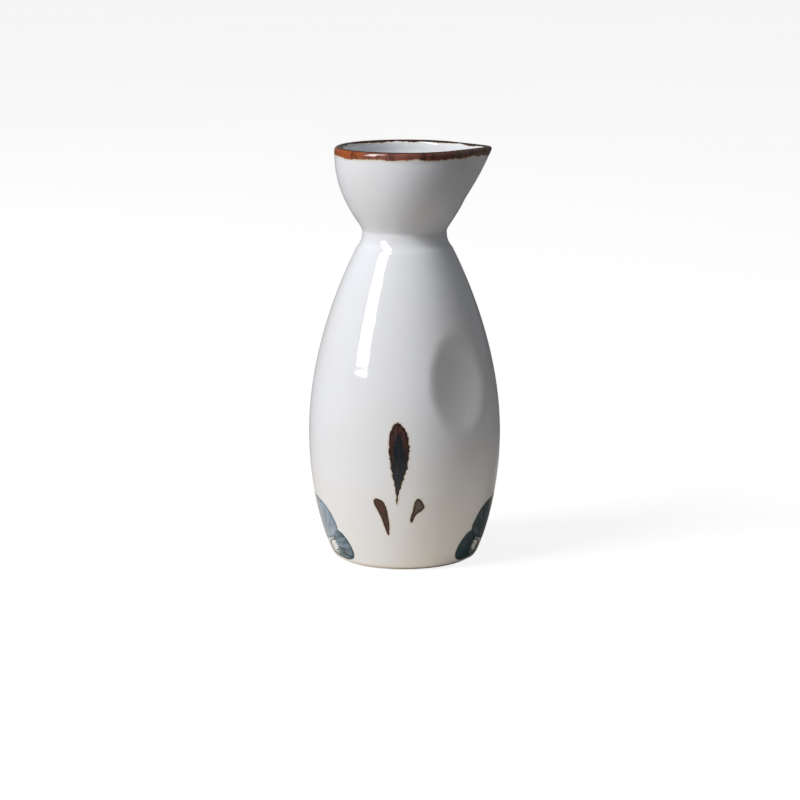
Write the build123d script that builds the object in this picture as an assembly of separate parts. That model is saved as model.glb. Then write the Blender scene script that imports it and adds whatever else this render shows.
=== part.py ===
"""Sake bottle of glazed stoneware: turned body with thumb hollows, throat, and a cup pinched to a
pouring lip, with its glaze coats, iron-brown lip band and the strokes painted round the belly.

The axis of turning is Z and the foot stands on Z = 0. The pouring lip points along +X and the tall
leaf is painted on the -Y side. Millimetres throughout.
"""

import os
from math import acos, cos, pi, radians, sin, sqrt

from build123d import *

os.makedirs("parts", exist_ok=True)

# Overall sizes
height = 134.0
foot_r = 23.8
foot_bevel = 2.2
belly_r = 31.05
belly_z = 0.306 * height
throat_r = 13.55
throat_z = 0.797 * height
mouth_r = 22.4
spout_reach = 5.75

# Wall and coats
wall = 2.85
lip_wall = 2.5
glaze = 0.3
band = 0.15
stroke = 0.12
floor_z = 6.4
floor_corner = 8.0

# Foot ring
ring_out = 20.8
ring_in = 16.8
recess = 1.8
seam_z = 10.0
bare_z = 1.2

# Thumb hollows
thumb_turn = 38.0
thumb_up = 0.31
thumb_depth = 2.6
thumb_r = 69.0
thumb_edge = 9.0

# Lip
crest_z = height - band
cup_rise = crest_z - throat_z
spout_z = throat_z + 0.359 * cup_rise
spout_power = 1.35
tip_soft = 0.09
band_outside = 2.4
band_inside = 1.2

# Outline of the turned body, from the foot up to the throat
shoulder_r = throat_r + 2.1
shoulder_z = throat_z - 5.8
shoulder_rise = 2.01
lower = Bezier(
    (foot_r, foot_bevel),
    (foot_r + 1.9, foot_bevel + 3.9),
    (belly_r, belly_z - 0.515 * (belly_z - foot_bevel)),
    (belly_r, belly_z),
)
upper = Bezier(
    (belly_r, belly_z),
    (belly_r, belly_z + 0.352 * (shoulder_z - belly_z)),
    (shoulder_r + 8.65, shoulder_z - 8.65 * shoulder_rise),
    (shoulder_r, shoulder_z),
)
neck = Bezier(
    (shoulder_r, shoulder_z),
    (shoulder_r - 0.75, shoulder_z + 0.75 * shoulder_rise),
    (throat_r, throat_z - 3.8),
    (throat_r, throat_z),
)
# Outline of the cup away from the pouring lip
cup = Bezier(
    (throat_r, throat_z),
    (throat_r, throat_z + 0.078 * cup_rise),
    (mouth_r, throat_z + 0.373 * cup_rise),
    (mouth_r, throat_z + 0.895 * cup_rise),
)


def inset(curve, depth, steps=8):
    """Curve lying a depth inside a stretch of the outline."""
    if depth == 0:
        return curve
    points = []
    for i in range(steps + 1):
        at = curve @ (i / steps)
        along = curve % (i / steps)
        points.append((at.X - depth * along.Y, at.Y + depth * along.X))
    return Spline(*points, tangents=(curve % 0, curve % 1))


def turned(depth):
    """Solid of revolution a depth inside the outer surface, from the ground to the throat."""
    sides = [inset(lower, depth), inset(upper, depth), inset(neck, depth)]
    start = sides[0] @ 0
    down = (sides[0] % 0) * -1
    ground = (ring_out - depth, 0)
    bevel = TangentArc((start.X, start.Y), ground, tangent=(down.X, down.Y))
    outline = [
        bevel,
        *sides,
        Line(sides[2] @ 1, (0, throat_z)),
        Line((0, throat_z), (0, 0)),
        Line((0, 0), ground),
    ]
    return revolve(Plane.XZ * make_face(outline), Axis.Z)


def pressed(solid, depth):
    """The solid with both thumb hollows pressed in, mirrored across the pouring plane."""
    at = upper @ thumb_up
    along = upper % thumb_up
    away = thumb_r - thumb_depth
    out_r = at.X + along.Y * away
    up_z = at.Y - along.X * away
    for side in (-1, 1):
        turn = radians(thumb_turn)
        centre = Pos(out_r * sin(turn), side * out_r * cos(turn), up_z)
        solid -= centre * Sphere(thumb_r + depth)
    edges = ShapeList()
    for face in solid.faces().filter_by(GeomType.SPHERE):
        edges += face.edges()
    return fillet(edges, thumb_edge - depth)


def body(depth):
    """Outer form of the body at a depth, with its hollows."""
    return pressed(turned(depth), depth)


def cavity(depth):
    """Space inside the body, a depth in from the outer surface, with a rounded floor corner."""
    bottom = floor_z + depth - wall
    space = turned(depth) - Pos(0, 0, bottom - 50) * Box(200, 200, 100)
    corner = space.faces().sort_by(Axis.Z)[0].edges()
    space = fillet(corner, floor_corner + wall - depth)
    return pressed(space, depth)


def rim_radius(r, z, turn, soft):
    """Distance from the axis to the cup's surface, drawn out to a point at the pouring lip."""
    share = max(0.0, (z - spout_z) / (crest_z - spout_z))
    lean = acos(r / (r + spout_reach * share**spout_power)) + soft
    flank = max(0.0, lean - sqrt(turn**2 + soft**2))
    return r / cos(flank)


def ring_face(r, z, soft):
    """Level section of the cup, with its points closer together at the pouring lip."""
    count = 16
    points = []
    for i in range(-count, count):
        turn = pi * (i / count) * abs(i / count) ** 0.8
        reach = rim_radius(r, z, turn, soft)
        points.append((reach * cos(turn), reach * sin(turn), z))
    return make_face(Spline(*points, periodic=True))


def cup_rings(share_in, depth):
    """Level sections up the cup, a share of the way through its wall and then a depth further."""
    faces = []
    for u in (0, 0.1, 0.2, 0.3, 0.41, 0.53, 0.66, 0.8, 0.92, 1):
        at = cup @ u
        thinned = min(1.0, (at.Y - throat_z) / (0.52 * cup_rise))
        through = wall + glaze + thinned * (lip_wall - wall - glaze)
        inward = share_in * through + depth
        faces.append(ring_face(at.X - inward, at.Y, tip_soft - 0.012 * inward))
    return faces


def cup_face(depth, side):
    """Solid filling the cup's outside (side 1) or inside (side -1), a depth within its wall."""
    round_r = lip_wall / 2 - depth
    faces = cup_rings(0, depth) if side > 0 else cup_rings(1, -depth)
    for angle in (0, 20, 40, 58, 72, 83):
        inward = lip_wall / 2 - side * round_r * cos(radians(angle))
        z = crest_z - lip_wall / 2 + round_r * sin(radians(angle))
        faces.append(ring_face(mouth_r - inward, z, tip_soft - 0.012 * inward))
    return loft(faces)


def cup_form(depth):
    """Cup wall with a rounded lip, a depth inside both of its surfaces."""
    return cup_face(depth, 1) - cup_face(depth, -1)


def above(z):
    """All space above a level."""
    return Pos(0, 0, z + 100) * Box(300, 300, 200)


def below(z):
    """All space below a level."""
    return Pos(0, 0, z - 100) * Box(300, 300, 200)



def between_lips():
    """Space inside the middle of the cup's wall, carried on past the lip."""
    faces = cup_rings(0.5, 0)
    for z in (crest_z - 0.4, crest_z + 3):
        faces.append(ring_face(mouth_r - lip_wall / 2, z, tip_soft - 0.006 * lip_wall))
    return loft(faces)


# Clay: the thrown foot and wall, and the cup joined on at the throat
base_hollow = Cylinder(ring_in, 2 * recess)
base_hollow = fillet(base_hollow.faces().sort_by(Axis.Z)[-1].edges(), 1.2)
clay = body(glaze) - cavity(wall) - base_hollow
mouth_funnel = cup_form(glaze)

# Glaze: one coat outside down to the bare foot, one inside down to the floor
core = between_lips()
cup_coat = cup_form(0) - mouth_funnel
body_coat = (body(0) - body(glaze)) & above(bare_z)
lining = cavity(wall) - cavity(wall + glaze)

# Iron-brown band over the lip
lip_band = (cup_form(-band) - cup_form(0)) & above(crest_z - band_outside)
lip_band -= core & below(crest_z - band_inside)

nodes = {
    "foot_and_floor": clay & below(seam_z),
    "belly_wall": clay & above(seam_z),
    "mouth_funnel": mouth_funnel,
    "outer_glaze": body_coat.fuse(cup_coat - core, tol=0.001),
    "inner_glaze": lining.fuse(cup_coat & core, tol=0.001),
    "iron_rim_band": lip_band,
}

# Thin layer over the belly that the brush strokes are cut from
under = [lower, upper]
over = [Pos(stroke, 0) * curve for curve in under]
ends = [Line(over[0] @ 0, under[0] @ 0), Line(over[1] @ 1, under[1] @ 1)]
paint = revolve(Plane.XZ * make_face([*over, *under, *ends]), Axis.Z)

# Outlines as seen square on, across and up, each from its highest point round clockwise
tall_leaf = [
    (-0.6, 49.8),
    (2.3, 47.0),
    (3.1, 43.0),
    (2.5, 35.6),
    (0.9, 30.5),
    (-0.3, 26.3),
    (-0.7, 23.4),
    (-0.95, 27.5),
    (-1.9, 32.6),
    (-2.7, 38.0),
    (-3.1, 43.0),
    (-2.5, 47.2),
]
left_leaf = [
    (-2.3, 24.9),
    (-0.5, 24.7),
    (1.3, 22.0),
    (1.8, 19.0),
    (1.9, 15.0),
    (1.5, 12.9),
    (0.9, 14.4),
    (-0.2, 18.2),
    (-1.4, 21.0),
]
right_leaf = [
    (0.3, 25.2),
    (1.6, 24.0),
    (2.2, 22.2),
    (0.8, 20.9),
    (-0.6, 19.5),
    (-1.8, 17.4),
    (-1.9, 18.8),
    (-1.2, 21.5),
    (-0.7, 24.2),
]
top_petal = [
    (0, 20.9),
    (5.6, 20.2),
    (9.7, 18.5),
    (11.7, 15.7),
    (12.2, 12.7),
    (8.8, 9.8),
    (4.4, 8.3),
    (0, 7.8),
    (-4.4, 8.3),
    (-8.8, 9.8),
    (-12.2, 12.7),
    (-11.7, 15.7),
    (-9.7, 18.5),
    (-5.6, 20.2),
]
side_petal = [
    (-0.6, 11.5),
    (1.7, 10.7),
    (3.3, 8.8),
    (4.2, 6.3),
    (4.1, 4.2),
    (2.4, 2.9),
    (-1.5, 2.7),
    (-5.2, 3.0),
    (-7.6, 3.9),
    (-7.9, 5.4),
    (-6.2, 6.9),
    (-3.2, 8.5),
]


def painted(turn, outline, mirrored=False):
    """Stroke on the belly at a turn from the front, positive towards the pouring lip."""
    facing = Plane(
        origin=(0, 0, 0),
        x_dir=(cos(radians(turn)), sin(radians(turn)), 0),
        z_dir=(sin(radians(turn)), -cos(radians(turn)), 0),
    )
    flip = -1 if mirrored else 1
    shape = make_face(Spline(*[(flip * x, z) for x, z in outline], periodic=True))
    return extrude(facing * shape, 60) & paint


# Leaves on the front, and the same three on the back
for side, half_turn in (("front", 0), ("back", 180)):
    nodes[f"leaf_tall_{side}"] = painted(half_turn - 3.4, tall_leaf)
    nodes[f"leaf_left_{side}"] = painted(half_turn - 14.0, left_leaf)
    nodes[f"leaf_right_{side}"] = painted(half_turn + 7.7, right_leaf)

# A flower on each flank, rising from the foot
for side, sign in (("left", -1), ("right", 1)):
    mirrored = sign > 0
    nodes[f"petal_fore_{side}"] = painted(sign * 52, side_petal, mirrored)
    nodes[f"petal_top_{side}"] = painted(sign * 80, top_petal, mirrored)
    nodes[f"petal_rear_{side}"] = painted(sign * 108, side_petal, not mirrored)

for name, solid in nodes.items():
    export_step(solid, f"parts/{name}.step")
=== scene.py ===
"""Sake bottle: white glazed stoneware with an iron-brown lip, brushed leaves and cobalt flowers.

Builds the glaze coats, the lip band and every brush stroke over the packed clay body, then lights
and frames them. Outlines are worked out in millimetres and meshes are made in metres. The bottle
turns about Z, its pouring lip points along +X and its front faces -Y.
"""

import math

import bpy
import numpy as np
from bpy.props import FloatProperty, FloatVectorProperty, IntProperty, PointerProperty
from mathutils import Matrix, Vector


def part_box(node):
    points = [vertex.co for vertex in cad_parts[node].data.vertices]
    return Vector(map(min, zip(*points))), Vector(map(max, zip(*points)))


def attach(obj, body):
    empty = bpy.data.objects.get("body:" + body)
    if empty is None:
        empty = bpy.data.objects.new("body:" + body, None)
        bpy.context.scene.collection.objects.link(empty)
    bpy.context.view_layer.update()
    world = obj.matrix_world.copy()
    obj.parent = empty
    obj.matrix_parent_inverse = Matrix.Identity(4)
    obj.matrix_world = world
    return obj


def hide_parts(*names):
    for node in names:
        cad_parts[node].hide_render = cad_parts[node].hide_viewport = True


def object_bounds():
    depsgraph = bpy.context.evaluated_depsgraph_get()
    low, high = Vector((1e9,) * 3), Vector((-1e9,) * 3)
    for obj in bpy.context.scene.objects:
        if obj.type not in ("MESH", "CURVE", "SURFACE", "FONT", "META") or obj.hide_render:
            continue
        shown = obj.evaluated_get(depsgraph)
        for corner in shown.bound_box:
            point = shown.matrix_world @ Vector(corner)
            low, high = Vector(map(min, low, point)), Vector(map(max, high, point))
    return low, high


bl_info = {
    "name": "Sake Bottle",
    "version": (1, 0, 0),
    "blender": (4, 5, 0),
    "location": "3D View > Sidebar > Sake Bottle",
    "description": "Glazed sake bottle with brushed decoration and a small studio",
    "category": "Object",
}

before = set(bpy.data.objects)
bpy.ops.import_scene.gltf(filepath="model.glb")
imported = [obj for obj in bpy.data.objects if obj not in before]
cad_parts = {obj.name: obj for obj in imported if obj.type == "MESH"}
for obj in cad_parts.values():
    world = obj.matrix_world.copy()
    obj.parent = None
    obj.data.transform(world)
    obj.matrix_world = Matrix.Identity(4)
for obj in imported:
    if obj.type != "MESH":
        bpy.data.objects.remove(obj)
CAD_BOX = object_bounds()
MM = 0.001


def in_mm(length):
    """A length in metres as millimetres."""
    return length / MM


CUP_LOW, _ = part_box("mouth_funnel")
_, BAND_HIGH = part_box("iron_rim_band")
GLAZE_LOW, GLAZE_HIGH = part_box("outer_glaze")

# Foot ring, its bevel and the floor inside, in millimetres
RING_OUT = 20.8
FOOT_BEVEL = 2.2
FOOT_LEAN = (1.9, 3.9)
FLOOR_Z = 6.7
FLOOR_CORNER = 7.7
FLOOR_MIDDLE = 0.3

# Belly, shoulder and neck: shares of a height, and millimetres from the throat or the shoulder
BELLY_SHARE = 0.306
BELLY_BELOW = 0.515
BELLY_ABOVE = 0.352
SHOULDER_OUT = 2.1
SHOULDER_DOWN = 5.8
SHOULDER_RISE = 2.01
SHOULDER_REACH = 8.65
NECK_REACH = 0.75
NECK_DROP = 3.8

# Cup and pouring lip: shares of the cup's height, and how the lip is drawn out to its tip
CUP_SHARES = (0.078, 0.373, 0.895)
SPOUT_SHARE = 0.359
SPOUT_POWER = 1.35
THINNED_SHARE = 0.52
TIP_SOFT = 0.09
TIP_NARROWING = 0.012

# Coats, lip band and strokes, in millimetres
COAT_SEEN = 0.2
BAND_THICK = 0.15
BAND_UP = 0.11
BAND_BORDER_UP = 0.015
BAND_FULL = 3.9
BAND_FALL_OUT = 4.6
BAND_FALL_IN = 3.2
STROKE_UP = 0.03
STROKE_LIFT = 0.012
STROKE_CLEAR = 0.2
LEAF_MARGIN = 1.1
PETAL_MARGIN = 0.76
FAN_WIDTH = 12

# Fineness of the meshes
BODY_ROWS = (44, 78, 26)
BEVEL_ROWS = 6
CUP_ROWS = 44
LIP_ROWS = 10
CORNER_ROWS = 12
INSIDE_DETAIL = 0.6
STROKE_DETAIL = 4
STROKE_STEP = 0.16
TIP_CROWDING = 0.35

# Colours of the iron and the clay. Round the lip: from where and to where along X, in metres
LIP_ROUND = (
    (-0.018, -0.007, (0.245, 0.090, 0.066)),
    (-0.006, 0.008, (0.145, 0.050, 0.034)),
    (0.008, 0.022, (0.200, 0.125, 0.096)),
)
LIP_CREST = (0.020, 0.008, 0.006)
# Near-black iron where the band runs inside the mouth: painted shade
LIP_INSIDE_SHADE = (0.008, 0.006, 0.005)
IRON_HAIR = (0.004, 0.004, 0.005)
IRON_GLINT = (0.050, 0.060, 0.070)
IRON_WORN = (0.110, 0.090, 0.072)
CLAY_CLOUD = (0.66, 0.60, 0.52)
CLAY_GROG = (0.30, 0.23, 0.17)

# Floor, room and tone
FLOOR_HALF = 9000.0  # in millimetres
FLOOR_SEEN = ((0.26, 0.26, 0.26), (0.28, 0.28, 0.28))
# Floor seen in reflections and thrown-back light: a painted pool of warm light near the foot, grey further
# out
FLOOR_POOLED_LIGHT = ((0.79, 0.72, 0.63), (0.21, 0.21, 0.22))
FLOOR_GLOW = 0.88
ROOM_TINT = (0.955, 0.98, 1.0, 1.0)
TONE_CURVE = ((0.14, 0.160), (0.50, 0.565), (0.82, 0.815))

# Lights: turn and rise in degrees, distance and size in metres
WINDOW = (-58, 34, 1.0, (0.31, 0.90))
SOFTBOX = (-60, 37, 1.5, (0.8, 0.8))

GLAZE_IOR = 1.52
COLOUR = {"subtype": "COLOR", "size": 3, "min": 0, "max": 1}


# ---- settings


class BottleForm(bpy.types.PropertyGroup):
    """Sizes of the turned body and the pinched cup"""

    height: FloatProperty(
        name="Height", description="Table to the crest of the lip", default=BAND_HIGH.z, unit="LENGTH",
    )
    belly_radius: FloatProperty(
        name="Belly radius", description="Widest radius of the body", default=GLAZE_HIGH.x, unit="LENGTH",
    )
    foot_radius: FloatProperty(
        name="Foot radius", description="Radius above the bevel of the foot", default=0.0238, unit="LENGTH",
    )
    throat_height: FloatProperty(
        name="Throat height", description="Height of the narrowest place", default=CUP_LOW.z, unit="LENGTH",
    )
    throat_radius: FloatProperty(
        name="Throat radius", description="Radius at the narrowest place", default=0.01355, unit="LENGTH",
    )
    mouth_radius: FloatProperty(
        name="Mouth radius", description="Outer radius of the cup away from the pouring lip",
        default=0.0224, unit="LENGTH",
    )
    spout_reach: FloatProperty(
        name="Spout reach", description="How far the lip is drawn out beyond the round",
        default=0.00575, unit="LENGTH",
    )
    wall: FloatProperty(
        name="Body wall", description="Clay and both glazes through the body",
        default=0.00315, unit="LENGTH",
    )
    lip_wall: FloatProperty(
        name="Lip wall", description="Clay and both glazes through the lip", default=0.0025, unit="LENGTH",
    )
    thumb_turn: FloatProperty(
        name="Thumb turn", description="Turn of the thumb hollow from the front",
        default=math.radians(38), subtype="ANGLE",
    )
    thumb_place: FloatProperty(
        name="Thumb place", description="Share of the upper outline where the hollow is centred",
        default=0.31, min=0, max=1, subtype="FACTOR",
    )
    thumb_depth: FloatProperty(
        name="Thumb depth", description="Depth of the hollow at its middle", default=0.0026, unit="LENGTH",
    )
    thumb_radius: FloatProperty(
        name="Thumb radius", description="Radius of the hollow's bowl", default=0.069, unit="LENGTH",
    )
    thumb_blend: FloatProperty(
        name="Thumb blend", description="Depth over which the hollow runs out into the belly",
        default=0.0009, unit="LENGTH",
    )
    columns: IntProperty(
        name="Columns", description="Faces round the bottle", default=288, min=48,
    )


class GlazeFinish(bpy.types.PropertyGroup):
    """Colours and surface of the glaze and the clay"""

    white: FloatVectorProperty(
        name="White", description="Main colour of the glaze", default=(0.80, 0.812, 0.85), **COLOUR,
    )
    # Inside white: darker than the outer white, as painted shade inside the mouth and body
    inside: FloatVectorProperty(
        name="Shaded inside white", description="Colour of the glaze inside, darkened as painted shade",
        default=(0.65, 0.67, 0.71), **COLOUR,
    )
    thin: FloatVectorProperty(
        name="Thin glaze", description="Colour where the glaze runs thin and the clay shows",
        default=(0.79, 0.775, 0.755), **COLOUR,
    )
    speck: FloatVectorProperty(
        name="Speck", description="Colour of the rare iron specks", default=(0.30, 0.24, 0.19), **COLOUR,
    )
    clay: FloatVectorProperty(
        name="Clay", description="Fired clay of the bare foot", default=(0.76, 0.72, 0.66), **COLOUR,
    )
    ripple: FloatProperty(
        name="Ripple", description="Height of the turning ripples under the glaze",
        default=0.0002, unit="LENGTH", precision=5,
    )


class BrushFinish(bpy.types.PropertyGroup):
    """Colours of the iron and cobalt brushwork"""

    iron_brown: FloatVectorProperty(
        name="Iron brown", description="Iron where the stroke lies thin",
        default=(0.070, 0.022, 0.012), **COLOUR,
    )
    iron_slate: FloatVectorProperty(
        name="Iron slate", description="Blue-black iron where the stroke lies thick",
        default=(0.009, 0.013, 0.018), **COLOUR,
    )
    iron_amber: FloatVectorProperty(
        name="Iron amber", description="Orange-brown iron at a stroke's tail and on the lip",
        default=(0.30, 0.070, 0.015), **COLOUR,
    )
    iron_edge: FloatVectorProperty(
        name="Iron edge", description="Dark line where the iron gathers at an edge",
        default=(0.014, 0.006, 0.004), **COLOUR,
    )
    iron_bloom: FloatVectorProperty(
        name="Iron bloom", description="Tan halo bled into the white", default=(0.62, 0.47, 0.28), **COLOUR,
    )
    cobalt_pale: FloatVectorProperty(
        name="Pale cobalt", description="Thin cobalt wash", default=(0.28, 0.36, 0.46), **COLOUR,
    )
    cobalt_deep: FloatVectorProperty(
        name="Deep cobalt", description="Pooled cobalt", default=(0.001, 0.034, 0.050), **COLOUR,
    )


class StudioSetup(bpy.types.PropertyGroup):
    """Camera and lights"""

    camera_distance: FloatProperty(
        name="Camera distance", description="Level distance from the bottle's axis",
        default=0.9, unit="LENGTH",
    )
    camera_height: FloatProperty(
        name="Camera height", description="Height above the table", default=0.22487, unit="LENGTH",
    )
    camera_pitch: FloatProperty(
        name="Camera pitch", description="Downward tilt", default=math.radians(10.911), subtype="ANGLE",
    )
    camera_side: FloatProperty(
        name="Camera side", description="Sideways place of the camera", default=-0.00148, unit="LENGTH",
    )
    lens: FloatProperty(
        name="Lens", description="Focal length on a 36 mm sensor", default=127.05, min=1,
    )
    window_power: FloatProperty(
        name="Window power", description="Tall narrow light seen in the glaze", default=13.0, min=0,
    )
    softbox_power: FloatProperty(
        name="Softbox power", description="Soft light on the left", default=23.5, min=0,
    )
    surround: FloatProperty(
        name="Surround", description="Brightness of the room", default=0.15, min=0,
    )


# ---- outline and surface


def bezier(corners, share):
    """Points on a cubic with four corners."""
    a, b, c, d = (np.array(corner, float) for corner in corners)
    t = np.asarray(share, float)[:, None]
    return (1 - t) ** 3 * a + 3 * (1 - t) ** 2 * t * b + 3 * (1 - t) * t**2 * c + t**3 * d


def arc(r, z, radius, angles):
    """Points on an arc about a centre, at angles from level outward."""
    return np.stack((r + radius * np.cos(angles), z + radius * np.sin(angles)), 1)


class Shape:
    """Sizes in millimetres worked out from the form settings."""

    def __init__(self, form):
        for place in ("foot", "belly", "throat", "mouth", "thumb"):
            setattr(self, place + "_r", in_mm(getattr(form, place + "_radius")))
        for size in ("height", "spout_reach", "wall", "lip_wall", "thumb_depth", "thumb_blend"):
            setattr(self, size, in_mm(getattr(form, size)))
        self.belly_z = BELLY_SHARE * self.height
        self.throat_z = in_mm(form.throat_height)
        self.crest_z = self.height - BAND_THICK
        self.cup_rise = self.crest_z - self.throat_z
        self.spout_z = self.throat_z + SPOUT_SHARE * self.cup_rise
        self.lip_z = self.crest_z - self.lip_wall / 2
        self.thumb_turn = form.thumb_turn
        self.thumb_place = form.thumb_place
        self.columns = form.columns

    def stretches(self):
        """Corners of the lower body, the upper body and the neck."""
        shoulder = (self.throat_r + SHOULDER_OUT, self.throat_z - SHOULDER_DOWN)
        lower = (
            (self.foot_r, FOOT_BEVEL),
            (self.foot_r + FOOT_LEAN[0], FOOT_BEVEL + FOOT_LEAN[1]),
            (self.belly_r, self.belly_z - BELLY_BELOW * (self.belly_z - FOOT_BEVEL)),
            (self.belly_r, self.belly_z),
        )
        upper = (
            (self.belly_r, self.belly_z),
            (self.belly_r, self.belly_z + BELLY_ABOVE * (shoulder[1] - self.belly_z)),
            (shoulder[0] + SHOULDER_REACH, shoulder[1] - SHOULDER_REACH * SHOULDER_RISE),
            shoulder,
        )
        neck = (
            shoulder,
            (shoulder[0] - NECK_REACH, shoulder[1] + NECK_REACH * SHOULDER_RISE),
            (self.throat_r, self.throat_z - NECK_DROP),
            (self.throat_r, self.throat_z),
        )
        return lower, upper, neck

    def bevel(self, low_z):
        """Rounded foot edge from a height up to where the wall begins."""
        start = np.array((self.foot_r, FOOT_BEVEL))
        ground = np.array((RING_OUT, 0.0))
        down = -np.array(FOOT_LEAN) / math.hypot(*FOOT_LEAN)
        inward = np.array((down[1], -down[0]))
        gap = ground - start
        radius = gap @ gap / (2 * inward @ gap)
        centre = start + inward * radius
        first = math.asin((low_z - centre[1]) / radius)
        last = math.asin((start[1] - centre[1]) / radius)
        angles = np.linspace(first, last, BEVEL_ROWS)[:-1]
        return arc(*centre, radius, angles)

    def body(self, low_z, detail=1.0):
        """Radius and height up the outside of the body."""
        runs = [self.bevel(low_z)] if low_z < FOOT_BEVEL else []
        for corners, rows in zip(self.stretches(), BODY_ROWS):
            runs.append(bezier(corners, np.linspace(0, 1, int(rows * detail) + 1)[:-1]))
        return np.concatenate(runs)

    def cup(self, detail=1.0):
        """Radius and height up the outside of the cup, to where the lip rounds over."""
        levels = [self.throat_z + share * self.cup_rise for share in (0, *CUP_SHARES)]
        radii = (self.throat_r, self.throat_r, self.mouth_r, self.mouth_r)
        run = bezier(tuple(zip(radii, levels)), np.linspace(0, 1, int(CUP_ROWS * detail)))
        return np.concatenate((run, [(self.mouth_r, self.lip_z)]))

    def lip(self, angles):
        """Half round over the lip, at angles from level outward."""
        half = self.lip_wall / 2
        return arc(self.mouth_r - half, self.lip_z, half, angles)

    def through(self, z):
        """Level thickness of the cup wall, thinning towards the lip."""
        share = np.clip((z - self.throat_z) / (THINNED_SHARE * self.cup_rise), 0, 1)
        return self.wall + share * (self.lip_wall - self.wall)

    def rim_radius(self, r, z, turn, inward):
        """Distance from the axis once the cup is drawn out to its pouring lip."""
        share = np.maximum(0.0, (z - self.spout_z) / (self.crest_z - self.spout_z))
        soft = TIP_SOFT - TIP_NARROWING * inward
        reach = r + self.spout_reach * share**SPOUT_POWER
        lean = np.arccos(np.clip(r / reach, -1, 1)) + soft
        flank = np.maximum(0.0, lean - np.sqrt(turn**2 + soft**2))
        return r / np.cos(flank)

    def thumb_centres(self):
        """Middles of the two bowls that press the hollows in, mirrored across the spout."""
        upper = self.stretches()[1]
        before, near, after = bezier(upper, self.thumb_place + np.array((-0.001, 0, 0.001)))
        along = after - before
        along /= np.hypot(*along)
        away = self.thumb_r - self.thumb_depth
        out_r = near[0] + along[1] * away
        up_z = near[1] - along[0] * away
        sideways, ahead = out_r * math.sin(self.thumb_turn), out_r * math.cos(self.thumb_turn)
        return [np.array((sideways, side * ahead, up_z)) for side in (-1, 1)]


def slopes(line):
    """Outward unit normals of an outline that runs upward."""
    along = np.gradient(line, axis=0)
    along /= np.hypot(along[:, 0], along[:, 1])[:, None]
    return np.stack((along[:, 1], -along[:, 0]), 1)


def turns(columns):
    """Turns about the axis from the pouring lip, closer together near its tip."""
    share = np.arange(-columns // 2, columns // 2) / (columns / 2)
    return np.pi * share * np.abs(share) ** TIP_CROWDING


def smooth_excess(value, blend):
    """The value where it is positive, running smoothly into zero."""
    near = np.maximum(blend - np.abs(value), 0) / blend
    return np.maximum(value, 0) + near**2 * blend / 4


def swept(shape, line, inward, normals):
    """Grid of points from an outline taken round the bottle, with its spout and thumb hollows."""
    around = turns(shape.columns)
    r, z = line[:, :1], line[:, 1:2]
    reach = shape.rim_radius(r, z, around[None, :], inward[:, None])
    cos, sin = np.cos(around)[None, :], np.sin(around)[None, :]
    level = np.ones_like(reach)
    points = np.stack((reach * cos, reach * sin, z * level), 2)
    facing = np.stack((normals[:, :1] * cos, normals[:, :1] * sin, normals[:, 1:2] * level), 2)
    for centre in shape.thumb_centres():
        bowl = shape.thumb_r + np.where(line[:, 1] < shape.throat_z, inward, 0)[:, None]
        depth = bowl - np.linalg.norm(points - centre, axis=2)
        points = points - facing * smooth_excess(depth, shape.thumb_blend)[..., None]
    return points


def outside_line(shape, low_z):
    """Outline of the outer surface from a height to the middle of the lip."""
    lip = shape.lip(np.radians(np.linspace(9, 90, LIP_ROWS)))
    return np.concatenate((shape.body(low_z), shape.cup(), lip))


def inside_line(shape, detail):
    """Outline of the inner surface from the floor's middle to the middle of the lip."""
    body = shape.body(FOOT_BEVEL, detail)
    body = body - shape.wall * slopes(body)
    corner_z = FLOOR_Z + FLOOR_CORNER
    middle_r = np.interp(corner_z, body[:, 1], body[:, 0]) - FLOOR_CORNER
    rounding = np.radians(np.linspace(-90, -6, CORNER_ROWS))
    corner = arc(middle_r, corner_z, FLOOR_CORNER, rounding)
    floor_r = np.linspace(FLOOR_MIDDLE, middle_r, LIP_ROWS)[:-1]
    floor = np.stack((floor_r, np.full_like(floor_r, FLOOR_Z)), 1)
    cup = shape.cup(detail)
    cup = cup - np.stack((shape.through(cup[:, 1]), np.zeros(len(cup))), 1)
    lip = shape.lip(np.radians(np.linspace(171, 90, LIP_ROWS)))
    return np.concatenate((floor, corner, body[body[:, 1] > corner_z], cup, lip))


def depth_in(shape, line, inner):
    """How far inside the outer surface each point of an outline lies, for the lip's sharpness."""
    outer = np.full(len(line), shape.mouth_r)
    cup = shape.cup()
    below = line[:, 1] < cup[-2, 1]
    outer[below] = np.interp(line[below, 1], cup[:, 1], cup[:, 0])
    outer[line[:, 1] < shape.throat_z] = 0
    inward = np.clip(outer - line[:, 0], 0, shape.wall)
    inward[line[:, 1] < shape.throat_z] = shape.wall if inner else 0
    return inward


# ---- meshes


def new_piece(name, points, faces, smooth=True):
    """Object with a mesh given in millimetres."""
    mesh = bpy.data.meshes.new(name)
    mesh.from_pydata((np.asarray(points) * MM).tolist(), [], faces)
    mesh.update()
    mesh.polygons.foreach_set("use_smooth", [smooth] * len(mesh.polygons))
    piece = bpy.data.objects.new(name, mesh)
    bpy.context.scene.collection.objects.link(piece)
    return piece


def ring_faces(rows, columns, closed):
    """Quads of a grid that closes round its columns, and round its rows if asked."""
    last = rows if closed else rows - 1
    i = np.arange(last)[:, None]
    j = np.arange(columns)[None, :]
    up, across = (i + 1) % rows, (j + 1) % columns
    here, above = i * columns, up * columns
    quads = np.stack((here + j, here + across, above + across, above + j), 2)
    return quads.reshape(-1, 4).tolist()


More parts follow.
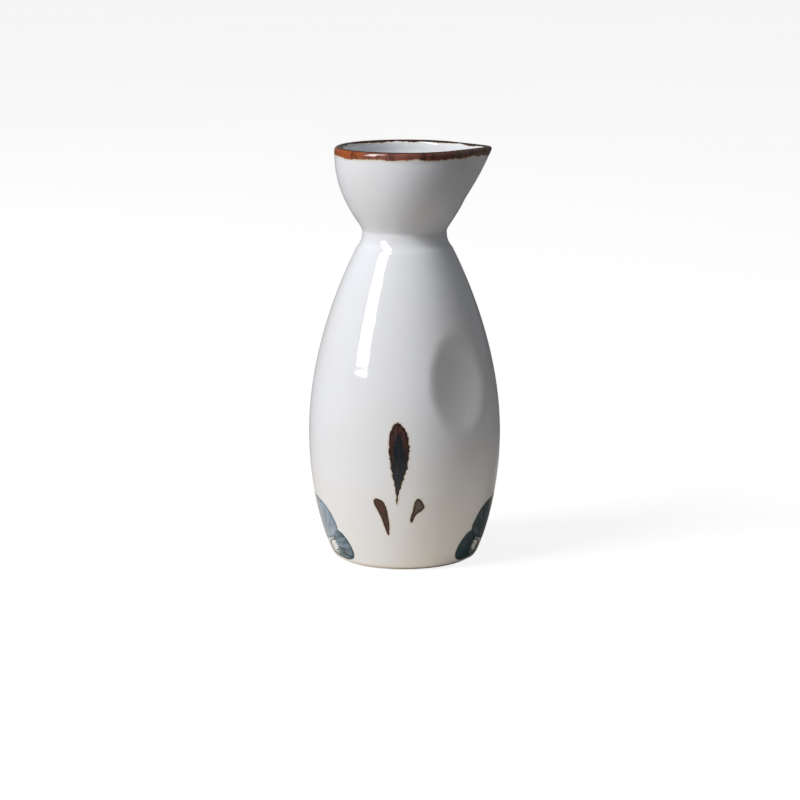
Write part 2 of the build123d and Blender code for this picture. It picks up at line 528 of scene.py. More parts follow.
def coat_piece(name, shape, line, inner):
    """Closed coat whose seen face follows an outline, with a coarser back laid in the clay."""
    side = -1 if inner else 1
    normals = slopes(line) * side
    inward = depth_in(shape, line, inner)
    front = swept(shape, line, inward, normals * side)
    thin = line - COAT_SEEN * normals
    back = swept(shape, thin, inward, normals * side)[::-3]
    grid = np.concatenate((front, back))
    rows = len(grid)
    points = grid.reshape(-1, 3)
    if not inner:
        return new_piece(name, points, ring_faces(rows, shape.columns, True))
    faces = [face[::-1] for face in ring_faces(rows, shape.columns, False)]
    poles = [(0, 0, line[0, 1]), (0, 0, line[0, 1] - COAT_SEEN)]
    count = len(points)
    last = (rows - 1) * shape.columns
    for j in range(shape.columns):
        across = (j + 1) % shape.columns
        faces.append([count, across, j])
        faces.append([count + 1, last + j, last + across])
    return new_piece(name, np.concatenate((points, poles)), faces)


def add_vectors(piece, name, values):
    """Stores a vector on each point of a piece, for its material to read."""
    held = piece.data.attributes.new(name, "FLOAT_VECTOR", "POINT")
    held.data.foreach_set("vector", np.asarray(values, np.float32).ravel())


def crease(piece, points):
    """Keeps the edges between the given points sharp."""
    ends = np.empty(len(piece.data.edges) * 2, int)
    piece.data.edges.foreach_get("vertices", ends)
    sharp = piece.data.attributes.new("sharp_edge", "BOOLEAN", "EDGE")
    sharp.data.foreach_set("value", np.isin(ends.reshape(-1, 2), points).all(1))


def belongs(piece, material, node):
    """Finishes a piece and seats it on the bottle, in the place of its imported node."""
    piece.data.materials.append(material)
    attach(piece, "root")
    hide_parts(node)


def band_piece(name, shape):
    """Thin sheet that lies on the glaze outside, over the lip and inside."""
    half = shape.lip_wall / 2
    fall_out = np.linspace(BAND_FALL_OUT, 0, 24)[:-1]
    fall_in = np.linspace(0, BAND_FALL_IN, 16)[1:]
    angles = np.radians(np.linspace(0, 180, 25))
    outside = shape.cup()
    out_z, in_z = shape.lip_z - fall_out, shape.lip_z - fall_in
    out_r = np.interp(out_z, outside[:, 1], outside[:, 0])
    in_r = np.interp(in_z, outside[:, 1], outside[:, 0]) - shape.through(in_z)
    line = (np.stack((out_r, out_z), 1), shape.lip(angles), np.stack((in_r, in_z), 1))
    line = np.concatenate(line)
    normals = slopes(line)
    crest = half * (angles - math.pi / 2)
    over = np.concatenate((-fall_out - half * math.pi / 2, crest, fall_in + half * math.pi / 2))
    full = np.clip(BAND_FULL - np.abs(over), 0, 1)
    raised = BAND_BORDER_UP + (BAND_UP - BAND_BORDER_UP) * full
    inward = np.clip(shape.mouth_r - line[:, 0], 0, shape.lip_wall)
    front = swept(shape, line + normals * raised[:, None], inward, normals)
    back = swept(shape, line - normals * COAT_SEEN / 2, inward, normals)[::-1]
    grid = np.concatenate((front, back))
    rows = len(grid)
    piece = new_piece(name, grid.reshape(-1, 3), ring_faces(rows, shape.columns, True))
    held = np.stack((over, np.zeros(len(over)), np.clip(over, 0, 1)), 1)
    held = np.concatenate((held, held[::-1]))
    add_vectors(piece, "over_lip", np.repeat(held, shape.columns, axis=0))
    row = np.arange(shape.columns)
    ends = (0, len(over) - 1, len(over), rows - 1)
    crease(piece, np.concatenate([row + end * shape.columns for end in ends]))
    return piece


# ---- brush strokes

TALL_LEAF = [
    (-0.6, 49.8), (2.3, 47.0), (3.1, 43.0), (2.5, 35.6), (0.9, 30.5), (-0.3, 26.3),
    (-0.7, 23.4), (-0.95, 27.5), (-1.9, 32.6), (-2.7, 38.0), (-3.1, 43.0), (-2.5, 47.2),
]
LEFT_LEAF = [
    (-2.3, 24.9), (-0.5, 24.7), (1.3, 22.0), (1.8, 19.0), (1.9, 15.0), (1.5, 12.9),
    (0.9, 14.4), (-0.2, 18.2), (-1.4, 21.0),
]
RIGHT_LEAF = [
    (0.3, 25.2), (1.6, 24.0), (2.2, 22.2), (0.8, 20.9), (-0.6, 19.5), (-1.8, 17.4),
    (-1.9, 18.8), (-1.2, 21.5), (-0.7, 24.2),
]
TOP_PETAL = [
    (0, 20.9), (5.6, 20.2), (9.7, 18.5), (11.7, 15.7), (12.2, 12.7), (8.8, 9.8), (4.4, 8.3),
    (0, 7.8), (-4.4, 8.3), (-8.8, 9.8), (-12.2, 12.7), (-11.7, 15.7), (-9.7, 18.5), (-5.6, 20.2),
]
SIDE_PETAL = [
    (-0.6, 11.5), (1.7, 10.7), (3.3, 8.8), (4.2, 6.3), (4.1, 4.2), (2.4, 2.9), (-1.5, 2.7),
    (-5.2, 3.0), (-7.6, 3.9), (-7.9, 5.4), (-6.2, 6.9), (-3.2, 8.5),
]
# Leaves: name, turn in degrees, outline, lower colour, height of the change and how hollow
LEAVES = (
    ("tall", -3.4, TALL_LEAF, "iron_slate", 42, 0.0),
    ("left", -14.0, LEFT_LEAF, "iron_amber", 17, 0.0),
    ("right", 7.7, RIGHT_LEAF, "iron_edge", 21, 0.65),
)
# Petals: name, turn in degrees, outline, whether on the far side, heart, gap and ink's spread
SIDE_HEART, TOP_HEART = (-13.0, 4.5), (-1.4, 4.5)
SIDE_GAP, TOP_GAP = (8.3, 2.2), (3.4, 18.8)
PETALS = (
    ("fore", 52, SIDE_PETAL, False, SIDE_HEART, SIDE_GAP, 0.7),
    ("top", 80, TOP_PETAL, False, TOP_HEART, TOP_GAP, 0.92),
    ("rear", 108, SIDE_PETAL, True, SIDE_HEART, SIDE_GAP, 0.7),
)
# Flowers: name, side, and how deep the cobalt lies in the side petals and in the top one; the right
# flower's larger values are partly deeper cobalt and partly painted shade
FLOWERS = (("left", -1, 0.62, 0.36), ("right", 1, 1.15, 0.85))


def closed_curve(points, per_span=14):
    """Smooth closed curve through points, timed by the straight distance between them."""
    points = np.asarray(points, float)
    count = len(points)
    ahead = np.roll(points, -1, 0)
    step = np.hypot(*(ahead - points).T)
    before = np.roll(step, 1)
    system = np.zeros((count, count))
    here = np.arange(count)
    system[here, here - 1] = step
    system[here, here] += 2 * (before + step)
    system[here, (here + 1) % count] = before
    rate = (ahead - points) / step[:, None]
    target = 3 * (step[:, None] * np.roll(rate, 1, 0) + before[:, None] * rate)
    slope = np.linalg.solve(system, target)
    t = np.linspace(0, 1, per_span, endpoint=False)[None, :, None]
    p, q = points[:, None], ahead[:, None]
    m = (slope * step[:, None])[:, None]
    n = (np.roll(slope, -1, 0) * step[:, None])[:, None]
    curve = (
        (2 * t**3 - 3 * t**2 + 1) * p
        + (t**3 - 2 * t**2 + t) * m
        + (3 * t**2 - 2 * t**3) * q
        + (t**3 - t**2) * n
    )
    return curve.reshape(-1, 2)


def into_outline(points, outline):
    """How far points lie inside a closed outline, less than nought outside, and nearest places."""
    ends = np.roll(outline, -1, 0)
    span = ends - outline
    apart = points[:, None] - outline[None]
    along = np.clip((apart * span).sum(2) / (span**2).sum(1), 0, 1)
    gaps = np.linalg.norm(apart - along[..., None] * span, axis=2)
    best = gaps.argmin(1)
    row = np.arange(len(points))
    nearest = outline[best] + along[row, best][:, None] * span[best]
    x, z = points[:, :1], points[:, 1:]
    rises = (outline[None, :, 1] > z) != (ends[None, :, 1] > z)
    with np.errstate(divide="ignore", invalid="ignore"):
        crossing = outline[:, 0] + (z - outline[:, 1]) * span[:, 0] / span[:, 1]
    inside = (rises & (x < crossing)).sum(1) % 2 == 1
    return np.where(inside, gaps[row, best], -gaps[row, best]), nearest


def trimmed_patch(outline, margin):
    """Flat grid cut off at a margin round an outline: points, depths, quads and border edges."""
    low = outline.min(0) - margin
    high = outline.max(0) + margin
    low[1] = max(low[1], in_mm(GLAZE_LOW.z) + STROKE_CLEAR)
    across = np.arange(low[0], high[0] + STROKE_STEP, STROKE_STEP)
    up = np.arange(low[1], high[1] + STROKE_STEP, STROKE_STEP)
    points = np.stack([grid.ravel() for grid in np.meshgrid(across, up)], 1)
    into, nearest = into_outline(points, outline)
    i, j = np.meshgrid(np.arange(len(up) - 1), np.arange(len(across) - 1), indexing="ij")
    corner = (i * len(across) + j).ravel()
    top = np.stack((corner, corner + 1, corner + len(across) + 1, corner + len(across)), 1)
    top = top[into[top].mean(1) > -margin]
    sides = np.concatenate([top[:, [k, (k + 1) % 4]] for k in range(4)])
    _, first, times = np.unique(np.sort(sides, 1), axis=0, return_index=True, return_counts=True)
    border = sides[first[times == 1]]
    edge = np.unique(border)
    edge = edge[np.abs(into[edge] + margin) < STROKE_STEP]
    outward = (points[edge] - nearest[edge]) / -into[edge][:, None]
    points[edge] = nearest[edge] + outward * margin
    into[edge] = -margin
    used, packed = np.unique(top, return_inverse=True)
    return points[used], into[used], packed.reshape(-1, 4), np.searchsorted(used, border)


def stroke_piece(name, shape, turn, points, margin, mirrored=False, heart=None, lift=0.0):
    """Thin raised patch of brushwork on the belly, at a turn in degrees from the front."""
    flip = -1.0 if mirrored else 1.0
    outline = closed_curve([(flip * x, z) for x, z in points])
    places, into, top, border = trimmed_patch(outline, margin)
    x, z = places.T
    count = len(x)
    line = shape.body(in_mm(GLAZE_LOW.z), STROKE_DETAIL)
    normals = slopes(line)
    r, n_r, n_z = (np.interp(z, line[:, 1], held) for held in (line[:, 0], *normals.T))
    angle = math.radians(turn) + np.arcsin(np.clip(x / r, -1, 1))
    sheets = []
    for rise in (STROKE_UP + lift, -COAT_SEEN / 2):
        far = r + rise * n_r
        sheets.append(np.stack((far * np.sin(angle), -far * np.cos(angle), z + rise * n_z), 1))
    walls = np.stack((border[:, 1], border[:, 0], border[:, 0] + count, border[:, 1] + count), 1)
    faces = np.concatenate((top, top[:, ::-1] + count, walls))
    piece = new_piece(name, np.concatenate(sheets), faces.tolist())
    crease(piece, np.concatenate((border.ravel(), border.ravel() + count)))
    if heart is None:
        brush = np.stack((flip * x, z, into), 1)
    else:
        off_x, off_z = flip * x - heart[0], z - heart[1]
        fan = FAN_WIDTH * np.arctan2(off_z, off_x)
        brush = np.stack((fan, np.hypot(off_x, off_z), into), 1)
    add_vectors(piece, "brush", np.concatenate((brush, brush)))
    return piece


# ---- node tools


def new_group(name, inputs, outputs):
    """Shader node group with named sockets: the wiring to build it and what it is given."""
    tree = bpy.data.node_groups.new(name, "ShaderNodeTree")
    kinds = {"color": "NodeSocketColor", "value": "NodeSocketFloat", "vector": "NodeSocketVector"}
    for direction, sockets in (("INPUT", inputs), ("OUTPUT", outputs)):
        for label, kind in sockets:
            tree.interface.new_socket(name=label, in_out=direction, socket_type=kinds[kind])
    w = Wiring(tree)
    return w, w.node("NodeGroupInput").outputs


class Wiring:
    """Short calls for adding and joining nodes in one tree."""

    def __init__(self, tree):
        self.tree = tree
        self.place = 0

    def node(self, kind, **settings):
        """Adds a node beside the last one."""
        made = self.tree.nodes.new(kind)
        made.location = (self.place, 0)
        self.place += 180
        for key, value in settings.items():
            setattr(made, key, value)
        return made

    def feed(self, socket, value):
        """Joins another node's output to a socket, or sets the socket."""
        if isinstance(value, bpy.types.NodeSocket):
            self.tree.links.new(value, socket)
        elif socket.type == "RGBA":
            socket.default_value = (*value, 1.0)
        else:
            socket.default_value = value

    def fill(self, node, **sockets):
        """Feeds a node's sockets by their labels and gives its outputs."""
        for label, value in sockets.items():
            self.feed(node.inputs[label.replace("_", " ")], value)
        return node.outputs

    def filled(self, kind, values, **settings):
        """Adds a node with its first inputs filled, and gives its first output."""
        made = self.node(kind, **settings)
        for socket, value in zip(made.inputs, values):
            self.feed(socket, value)
        return made.outputs[0]

    def maths(self, operation, *values):
        """Arithmetic on values."""
        return self.filled("ShaderNodeMath", values, operation=operation)

    def times(self, first, second):
        """Product of two values."""
        return self.maths("MULTIPLY", first, second)

    def ramp(self, value, low, high, to_low=0.0, to_high=1.0):
        """Smooth step of a value from one level to another."""
        held = (value, low, high, to_low, to_high)
        return self.filled("ShaderNodeMapRange", held, interpolation_type="SMOOTHSTEP")

    def blend(self, share, first, second):
        """Colour part of the way from the first to the second."""
        made = self.node("ShaderNodeMix", data_type="RGBA")
        self.feed(made.inputs[0], share)
        self.feed(made.inputs[6], first)
        self.feed(made.inputs[7], second)
        return made.outputs[2]

    def scaled(self, vector, scale):
        """A vector stretched by its own share along each axis."""
        return self.filled("ShaderNodeVectorMath", (vector, scale), operation="MULTIPLY")

    def shifted(self, vector, offset):
        """A vector moved along, so that a second noise differs from the first."""
        return self.filled("ShaderNodeVectorMath", (vector, offset), operation="ADD")

    def noise(self, vector, scale, detail=2.0, roughness=0.5):
        """Cloudy value between nought and one."""
        made = self.node("ShaderNodeTexNoise")
        self.fill(made, Vector=vector, Scale=scale, Detail=detail, Roughness=roughness)
        return made.outputs[0]

    def split(self, vector):
        """The three parts of a vector."""
        made = self.node("ShaderNodeSeparateXYZ")
        self.feed(made.inputs[0], vector)
        return made.outputs

    def joined(self, x, y, z):
        """A vector from three parts."""
        return self.filled("ShaderNodeCombineXYZ", (x, y, z))

    def bump(self, height, distance, normal=None):
        """Normal tilted by a height, in metres at full height."""
        made = self.node("ShaderNodeBump")
        self.fill(made, Height=height, Distance=distance)
        if normal is not None:
            self.feed(made.inputs["Normal"], normal)
        return made.outputs[0]

    def use(self, name, **sockets):
        """Places a node group with its own values."""
        made = self.node("ShaderNodeGroup", node_tree=bpy.data.node_groups[name])
        return self.fill(made, **sockets)


def glaze_skin_group(ripple):
    """Glaze over pale clay: cloudy tone, pinholes, rare specks and turning ripples."""
    w, given = new_group(
        "Glaze Skin",
        [("White", "color"), ("Thin", "color"), ("Speck", "color")],
        [("Color", "color"), ("Roughness", "value"), ("Normal", "vector")],
    )
    place = w.node("ShaderNodeTexCoord").outputs["Object"]
    cloud = w.noise(place, 42, 3)
    foot = w.ramp(w.split(place)[2], 0.055, 0.0, 0.0, 0.75)
    thin = w.maths("MULTIPLY_ADD", w.ramp(cloud, 0.42, 0.72), 0.35, foot)
    tone = w.blend(thin, given["White"], given["Thin"])
    cells = w.fill(w.node("ShaderNodeTexVoronoi"), Vector=place, Scale=190)
    rare = w.maths("GREATER_THAN", w.split(cells["Color"])[0], 0.93)
    dot = w.ramp(cells["Distance"], 0.055, 0.02)
    speck = w.times(w.times(rare, dot), 0.55)
    tone = w.blend(speck, tone, given["Speck"])
    ripples = w.noise(w.scaled(place, (1.0, 1.0, 6.0)), 34, 1)
    peel = w.noise(place, 900, 1)
    height = w.maths("MULTIPLY_ADD", peel, 0.01, ripples)
    normal = w.bump(height, ripple)
    rough = w.ramp(w.noise(place, 160, 2), 0.3, 0.75, 0.055, 0.11)
    w.fill(w.node("NodeGroupOutput"), Color=tone, Roughness=rough, Normal=normal)


def iron_ink_group():
    """Iron brush stroke read from its distance to the outline, with a ragged, bleeding edge."""
    w, given = new_group(
        "Iron Ink",
        [
            ("Brush", "vector"), ("Glaze", "color"), ("Upper", "color"), ("Lower", "color"),
            ("Edge", "color"), ("Bloom", "color"), ("Change height", "value"), ("Hollow", "value"),
        ],
        [("Color", "color"), ("Ink", "value")],
    )
    across, up, into = w.split(given["Brush"])
    flat = w.joined(across, up, 0.0)
    ragged = w.maths("SUBTRACT", w.noise(flat, 0.75, 5, 0.68), 0.5)
    wild = w.times(ragged, w.ramp(up, 24.0, 31.0, 0.8, 1.9))
    edge = w.maths("ADD", w.maths("ADD", into, 0.14), wild)
    ink = w.ramp(edge, -0.10, 0.12)
    halo = w.ramp(w.maths("ADD", into, wild), -1.1, 0.10, 0.0, 0.85)
    base = w.blend(w.maths("POWER", halo, 1.8), given["Glaze"], given["Bloom"])
    drag = w.joined(w.times(across, 1.15), w.times(up, 0.16), 3.0)
    streaks = w.noise(drag, 1.0, 5, 0.7)
    level = w.maths("SUBTRACT", w.maths("MULTIPLY_ADD", streaks, 16.0, up), given["Change height"])
    level = w.maths("MULTIPLY_ADD", w.maths("SUBTRACT", 1.4, edge), 5.0, level)
    colour = w.blend(w.ramp(level, 5.0, 10.0), given["Lower"], given["Upper"])
    hairs = w.noise(w.shifted(w.scaled(drag, (2.0, 2.4, 1.0)), (5.0, 2.0, 0.0)), 1.0, 4, 0.7)
    colour = w.blend(w.ramp(hairs, 0.46, 0.62, 0.0, 0.8), colour, IRON_HAIR)
    glint = w.times(w.ramp(streaks, 0.53, 0.68, 0.0, 0.6), w.ramp(up, 24.0, 28.0))
    colour = w.blend(glint, colour, IRON_GLINT)
    patchy = w.ramp(w.noise(w.shifted(flat, (9.0, 4.0, 0.0)), 0.5, 2), 0.36, 0.58, 0.35, 1.0)
    gathered = w.times(w.ramp(edge, 0.90, 0.25, 0.0, 0.92), patchy)
    colour = w.blend(gathered, colour, given["Edge"])
    worn = w.times(w.ramp(edge, 0.55, 0.85), given["Hollow"])
    worn = w.times(worn, w.ramp(up, 18.8, 21.0))
    colour = w.blend(worn, colour, IRON_WORN)
    w.fill(w.node("NodeGroupOutput"), Color=w.blend(ink, base, colour), Ink=ink)


def cobalt_wash_group():
    """Watery cobalt petal: streaks fan from its heart, pigment pools at the rim, a gap is white."""
    w, given = new_group(
        "Cobalt Wash",
        [
            ("Brush", "vector"), ("Glaze", "color"), ("Pale", "color"), ("Deep", "color"),
            ("Depth", "value"), ("Gap far", "value"), ("Gap fan", "value"), ("Spread", "value"),
        ],
        [("Color", "color")],
    )
    fan, far, into = w.split(given["Brush"])
    flat = w.joined(fan, far, 0.0)
    ragged = w.maths("SUBTRACT", w.noise(flat, 1.1, 3, 0.6), 0.5)
    edge = w.maths("MULTIPLY_ADD", ragged, 0.5, w.maths("ADD", into, given["Spread"]))
    ink = w.ramp(edge, -0.12, 0.14)
    drag = w.joined(w.times(fan, 0.75), w.times(far, 0.12), 1.0)
    streaks = w.noise(drag, 1.0, 4, 0.62)
    pool = w.ramp(edge, 1.3, 0.2, 0.0, 0.28)
    depth = w.maths("MULTIPLY_ADD", w.maths("SUBTRACT", streaks, 0.5), 1.5, given["Depth"])
    depth = w.ramp(w.maths("ADD", depth, pool), 0.0, 1.0)
    colour = w.blend(depth, given["Pale"], given["Deep"])
    rough = w.joined(w.times(fan, 1.5), w.times(far, 0.5), 4.0)
    rough = w.maths("SUBTRACT", w.noise(rough, 1.0, 5, 0.8), 0.5)
    off_far = w.maths("DIVIDE", w.maths("SUBTRACT", far, given["Gap far"]), 1.9)
    off_fan = w.maths("DIVIDE", w.maths("SUBTRACT", fan, given["Gap fan"]), 3.4)
    off = w.maths("ADD", w.maths("POWER", off_far, 2.0), w.maths("POWER", off_fan, 2.0))
    off = w.maths("SQRT", off)
    covered = w.ramp(w.maths("MULTIPLY_ADD", rough, 4.6, off), 0.80, 1.08)
    covered = w.maths("MAXIMUM", covered, w.ramp(edge, 0.65, 0.30))
    ink = w.times(ink, covered)
    w.fill(w.node("NodeGroupOutput"), Color=w.blend(ink, given["Glaze"], colour))


# ---- materials


def new_material(name):
    """Material with a Principled surface, and the wiring to build it."""
    material = bpy.data.materials.new(name)
    material.use_nodes = True
    material.node_tree.nodes.clear()
    w = Wiring(material.node_tree)
    surface = w.node("ShaderNodeBsdfPrincipled")
    out = w.node("ShaderNodeOutputMaterial")
    material.node_tree.links.new(surface.outputs[0], out.inputs[0])
    return material, w, surface


def new_glazed(name, glaze, white):
    """Material that starts from the shared glaze skin in this bottle's colours."""
    material, w, surface = new_material(name)
    skin = w.use("Glaze Skin", White=white, Thin=glaze.thin, Speck=glaze.speck)
    return material, w, surface, skin


def glassy(w, surface, colour, roughness, normal):
    """Feeds the surface that every glazed or brushed piece has."""
    w.fill(surface, Base_Color=colour, Roughness=roughness, Normal=normal, IOR=GLAZE_IOR)


def glaze_material(name, glaze, white):
    """Plain white glaze."""
    material, w, surface, skin = new_glazed(name, glaze, white)
    glassy(w, surface, skin["Color"], skin["Roughness"], skin["Normal"])
    return material


def brush_vector(w, name="brush"):
    """The stored brush coordinates of a piece."""
    return w.node("ShaderNodeAttribute", attribute_name=name).outputs["Vector"]


def leaf_material(name, glaze, brush, lower, change, hollow):
    """Iron stroke sunk in the white glaze, brown over another colour."""
    material, w, surface, skin = new_glazed(name, glaze, glaze.white)
    ink = w.use(
        "Iron Ink", Brush=brush_vector(w), Glaze=skin["Color"], Upper=brush.iron_brown,
        Lower=lower, Edge=brush.iron_edge, Bloom=brush.iron_bloom,
        Change_height=change, Hollow=hollow,
    )
    rough = w.maths("MULTIPLY_ADD", ink["Ink"], 0.07, skin["Roughness"])
    glassy(w, surface, ink["Color"], rough, skin["Normal"])
    return material


def petal_material(name, glaze, brush, depth, gap, spread):
    """Cobalt wash under the white glaze."""
    material, w, surface, skin = new_glazed(name, glaze, glaze.white)
    wash = w.use(
        "Cobalt Wash", Brush=brush_vector(w), Glaze=skin["Color"], Pale=brush.cobalt_pale,
        Deep=brush.cobalt_deep, Depth=depth, Gap_far=gap[0], Gap_fan=gap[1], Spread=spread,
    )
    glassy(w, surface, wash["Color"], skin["Roughness"], skin["Normal"])
    return material


def lip_material(name, glaze, brush):
    """Iron wash over the lip: amber to near black round the rim, running at its lower edge, and near black
    inside the mouth as painted shade.
    """
    material, w, surface, skin = new_glazed(name, glaze, glaze.white)
    place = w.node("ShaderNodeTexCoord").outputs["Object"]
    over, _, inner = w.split(brush_vector(w, "over_lip"))
    far = w.maths("ABSOLUTE", over)
    wide = w.maths("SUBTRACT", w.noise(place, 150, 2), 0.5)
    fine = w.maths("SUBTRACT", w.noise(place, 950, 3, 0.65), 0.5)
    fallen = w.scaled(place, (1.0, 1.0, 0.18))
    drips = w.ramp(w.noise(fallen, 260, 2, 0.6), 0.50, 0.72, 0.0, 0.55)
    drips = w.times(drips, w.maths("SUBTRACT", 1.0, inner))
    limit = w.maths("ADD", w.maths("MULTIPLY_ADD", inner, -1.75, 3.0), drips)
    edge = w.maths("SUBTRACT", limit, far)
    edge = w.maths("MULTIPLY_ADD", wide, 1.9, w.maths("MULTIPLY_ADD", fine, 0.7, edge))
    ink = w.ramp(edge, -0.12, 0.16)
    halo = w.ramp(edge, -0.85, 0.0, 0.0, 0.85)
    shown = w.maths("MULTIPLY_ADD", inner, -0.6, 1.0)
    halo = w.times(w.maths("POWER", halo, 1.7), shown)
    base = w.blend(halo, skin["Color"], brush.iron_bloom)
    side = w.maths("MULTIPLY_ADD", wide, 0.012, w.split(place)[0])
    iron = brush.iron_amber
    for start, end, colour in LIP_ROUND:
        iron = w.blend(w.ramp(side, start, end), iron, colour)
    runs = w.noise(fallen, 520, 4, 0.65)
    iron = w.blend(w.ramp(runs, 0.48, 0.68, 0.0, 0.66), iron, brush.iron_edge)
    amber = w.times(w.ramp(edge, 0.85, 0.05, 0.0, 0.7), w.ramp(runs, 0.60, 0.40))
    iron = w.blend(amber, iron, brush.iron_amber)
    iron = w.blend(w.ramp(far, 1.05, 0.35, 0.0, 0.9), iron, LIP_CREST)
    # Inside the mouth the band goes near black: painted shade
    iron = w.blend(w.times(inner, 0.85), iron, LIP_INSIDE_SHADE)
    rough = w.maths("MULTIPLY_ADD", ink, 0.03, skin["Roughness"])
    normal = w.bump(w.noise(place, 700, 2), 0.00002, skin["Normal"])
    glassy(w, surface, w.blend(ink, base, iron), rough, normal)
    return material


def clay_material(name, glaze):
    """Fine fired clay, matt, cloudy and speckled with grog."""
    material, w, surface = new_material(name)
    place = w.node("ShaderNodeTexCoord").outputs["Object"]
    grain = w.noise(place, 1400, 3, 0.7)
    cloud = w.noise(place, 70, 3)
    tone = w.blend(w.ramp(cloud, 0.35, 0.7), glaze.clay, CLAY_CLOUD)
    tone = w.blend(w.ramp(grain, 0.62, 0.78, 0.0, 0.6), tone, CLAY_GROG)
    rough = w.ramp(grain, 0.2, 0.8, 0.72, 0.9)
    w.fill(surface, Base_Color=tone, Roughness=rough, Normal=w.bump(grain, 0.00006))
    return material


# ---- operators


class BOTTLE_OT_clay(bpy.types.Operator):
    """Give the packed clay foot, wall and cup their fired finish"""

    bl_idname = "bottle.clay"
    bl_label = "Fire the clay"

    def execute(self, context):
        material = clay_material("Fired clay", context.scene.bottle_glaze)
        for node in ("foot_and_floor", "belly_wall", "mouth_funnel"):
            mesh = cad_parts[node].data
            mesh.materials.clear()
            mesh.materials.append(material)
        return {"FINISHED"}


class BOTTLE_OT_glaze(bpy.types.Operator):
    """Lay the outer and inner coats of white glaze"""

    bl_idname = "bottle.glaze"
    bl_label = "Lay the white glaze"

    def execute(self, context):
        glaze = context.scene.bottle_glaze
        glaze_skin_group(glaze.ripple)
        shape = Shape(context.scene.bottle_form)
        coats = (
            ("outer_glaze", outside_line(shape, in_mm(GLAZE_LOW.z)), False, glaze.white),
            # The inner coat takes the darker inside white, which is painted shade
            ("inner_glaze", inside_line(shape, INSIDE_DETAIL), True, glaze.inside),
        )
        for node, line, is_inner, white in coats:
            piece = coat_piece(node + "_coat", shape, line, is_inner)
            material = glaze_material("White " + node, glaze, white)
            belongs(piece, material, node)
        return {"FINISHED"}


class BOTTLE_OT_lip_band(bpy.types.Operator):
    """Brush the iron-brown band over the lip"""

    bl_idname = "bottle.lip_band"
    bl_label = "Brush the lip band"

    def execute(self, context):
        scene = context.scene
        piece = band_piece("lip_band", Shape(scene.bottle_form))
        material = lip_material("Iron lip", scene.bottle_glaze, scene.bottle_brush)
        belongs(piece, material, "iron_rim_band")
        return {"FINISHED"}


class BOTTLE_OT_leaves(bpy.types.Operator):
    """Brush the three iron leaves on the front, and the same three on the back"""

    bl_idname = "bottle.leaves"
    bl_label = "Brush the leaves"

    def execute(self, context):
        iron_ink_group()
        scene = context.scene
        shape = Shape(scene.bottle_form)
        glaze, brush = scene.bottle_glaze, scene.bottle_brush
        materials = [
            leaf_material("Iron " + which, glaze, brush, getattr(brush, lower), change, hollow)
            for which, _, _, lower, change, hollow in LEAVES
        ]
        for side, half_turn in (("front", 0), ("back", 180)):
            for order, (which, turn, outline, *_) in enumerate(LEAVES):
                node = f"leaf_{which}_{side}"
                piece = stroke_piece(
                    node + "_brushed", shape, half_turn + turn, outline, LEAF_MARGIN,
                    lift=STROKE_LIFT * order,
                )
                belongs(piece, materials[order], node)
        return {"FINISHED"}


class BOTTLE_OT_flowers(bpy.types.Operator):
    """Wash in the cobalt petals that rise from the foot on each flank"""

    bl_idname = "bottle.flowers"
    bl_label = "Wash in the flowers"

    def execute(self, context):
        cobalt_wash_group()
        scene = context.scene
        shape = Shape(scene.bottle_form)
        glaze, brush = scene.bottle_glaze, scene.bottle_brush
        for side, sign, side_depth_and_shade, top_depth_and_shade in FLOWERS:
            mirrored = sign > 0
            for which, turn, outline, far_side, heart, gap, spread in PETALS:
                node = f"petal_{which}_{side}"
                is_top = which == "top"
                # On the right flower the depth darkens the cobalt partly as painted shade
                depth = top_depth_and_shade if is_top else side_depth_and_shade
                piece = stroke_piece(
                    node + "_washed", shape, sign * turn, outline, PETAL_MARGIN,
                    mirrored != far_side, heart, STROKE_LIFT * is_top,
                )
                name = f"Cobalt {which} {side}"
                material = petal_material(name, glaze, brush, depth, gap, spread)
                belongs(piece, material, node)
        return {"FINISHED"}


def lamp(name, turn, rise, distance, size, power):
    """Rectangular light, turned and raised by degrees from straight in front of the bottle."""
    turn, rise = math.radians(turn), math.radians(rise)
    data = bpy.data.lights.new(name, "AREA")
    data.shape = "RECTANGLE"
    data.size, data.size_y = size
    data.energy = power
    made = bpy.data.objects.new(name, data)
    middle = (CAD_BOX[0][2] + CAD_BOX[1][2]) / 2
    level = distance * math.cos(rise)
    made.location = (
        level * math.sin(turn), -level * math.cos(turn), middle + distance * math.sin(rise)
    )
    bpy.context.scene.collection.objects.link(made)
    away = Vector((0, 0, middle)) - made.location
    made.rotation_euler = away.to_track_quat("-Z", "Y").to_euler()
    return made


def floor_material():
    """Pale floor: bright to the camera; in what it throws back, a painted pool of warm light round the foot
    that fades to grey further out.
    """
    material, w, surface = new_material("Pale floor")
    place = w.node("ShaderNodeTexCoord").outputs["Object"]
    mottle = w.ramp(w.noise(place, 3, 2), 0.3, 0.7, 0.0, 1.0)
    seen = w.node("ShaderNodeLightPath").outputs["Is Camera Ray"]
    pale = w.blend(mottle, *FLOOR_SEEN)
    # Painted pool of light: warm and bright near the foot, grey further out, for all but camera rays
    reach = w.fill(w.node("ShaderNodeVectorMath", operation="LENGTH"), Vector=place)["Value"]
    pooled_light = w.blend(w.ramp(reach, 0.05, 0.22), *FLOOR_POOLED_LIGHT)
    w.fill(
        surface, Base_Color=w.blend(seen, pooled_light, pale), Roughness=0.9, Specular_IOR_Level=0.0,
        Emission_Color=w.blend(seen, (0, 0, 0), (1, 1, 1)), Emission_Strength=FLOOR_GLOW,
    )
    return material


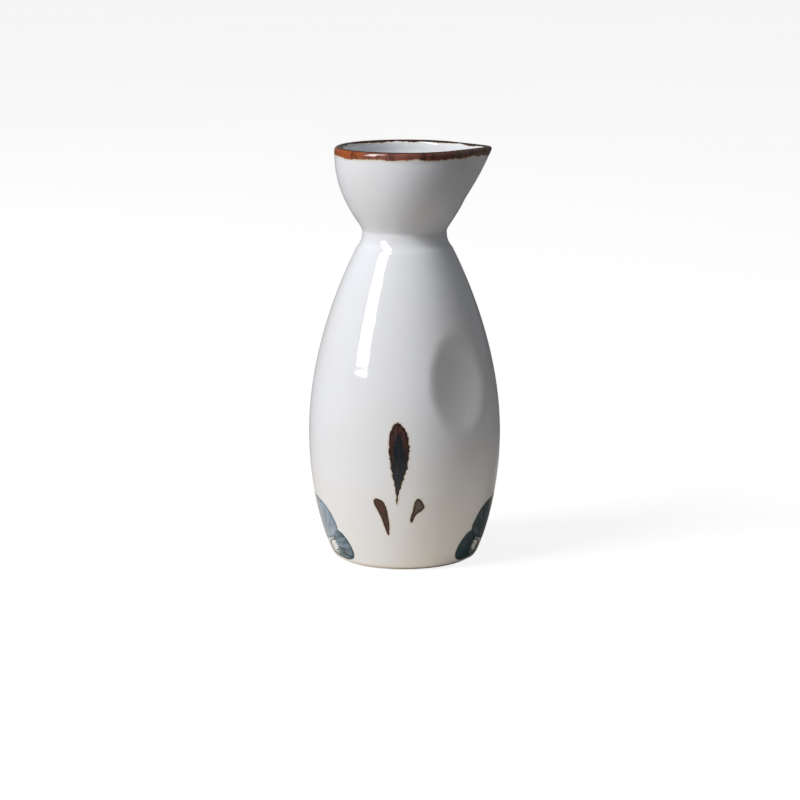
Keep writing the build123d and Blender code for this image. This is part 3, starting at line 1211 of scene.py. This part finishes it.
class BOTTLE_OT_studio(bpy.types.Operator):
    """Set the pale floor, the lights and the camera"""

    bl_idname = "bottle.studio"
    bl_label = "Set the studio"

    def execute(self, context):
        scene = context.scene
        studio = scene.bottle_studio
        half = FLOOR_HALF
        corners = [(-half, -half, 0), (half, -half, 0), (half, half, 0), (-half, half, 0)]
        piece = new_piece("floor", corners, [[0, 1, 2, 3]], smooth=False)
        piece.data.materials.append(floor_material())
        window = lamp("Window", *WINDOW, studio.window_power)
        window.visible_diffuse = False
        softbox = lamp("Softbox", *SOFTBOX, studio.softbox_power)
        softbox.visible_glossy = False
        world = bpy.data.worlds.new("Room")
        world.use_nodes = True
        back = world.node_tree.nodes["Background"]
        back.inputs["Color"].default_value = ROOM_TINT
        back.inputs["Strength"].default_value = studio.surround
        scene.world = world
        scene.view_settings.view_transform = "Standard"
        scene.view_settings.use_curve_mapping = True
        tone = scene.view_settings.curve_mapping
        for shade in TONE_CURVE:
            tone.curves[3].points.new(*shade)
        tone.update()
        data = bpy.data.cameras.new("Camera")
        data.sensor_width = 36
        data.lens = studio.lens
        camera = bpy.data.objects.new("Camera", data)
        camera.location = (studio.camera_side, -studio.camera_distance, studio.camera_height)
        camera.rotation_euler = (math.pi / 2 - studio.camera_pitch, 0, 0)
        scene.collection.objects.link(camera)
        scene.camera = camera
        return {"FINISHED"}


class BOTTLE_PT_panel(bpy.types.Panel):
    """Steps that build the bottle"""

    bl_label = "Sake Bottle"
    bl_idname = "BOTTLE_PT_panel"
    bl_space_type = "VIEW_3D"
    bl_region_type = "UI"
    bl_category = "Sake Bottle"

    def draw(self, context):
        for step in STEPS:
            self.layout.operator(step.bl_idname)
        for group in GROUPS:
            box = self.layout.box()
            held = getattr(context.scene, group)
            for name in type(held).__annotations__:
                box.prop(held, name)


STEPS = (
    BOTTLE_OT_clay,
    BOTTLE_OT_glaze,
    BOTTLE_OT_lip_band,
    BOTTLE_OT_leaves,
    BOTTLE_OT_flowers,
    BOTTLE_OT_studio,
)
GROUPS = {
    "bottle_form": BottleForm,
    "bottle_glaze": GlazeFinish,
    "bottle_brush": BrushFinish,
    "bottle_studio": StudioSetup,
}


def register():
    """Adds the settings, steps and panel."""
    for name, group in GROUPS.items():
        bpy.utils.register_class(group)
        setattr(bpy.types.Scene, name, PointerProperty(type=group))
    for step in (*STEPS, BOTTLE_PT_panel):
        bpy.utils.register_class(step)


def unregister():
    """Removes them again."""
    for step in (BOTTLE_PT_panel, *reversed(STEPS)):
        bpy.utils.unregister_class(step)
    for name, group in reversed(GROUPS.items()):
        delattr(bpy.types.Scene, name)
        bpy.utils.unregister_class(group)


def main():
    """Builds the whole bottle."""
    register()
    bpy.ops.bottle.clay()
    bpy.ops.bottle.glaze()
    bpy.ops.bottle.lip_band()
    bpy.ops.bottle.leaves()
    bpy.ops.bottle.flowers()
    bpy.ops.bottle.studio()


if __name__ == "__main__":
    main()
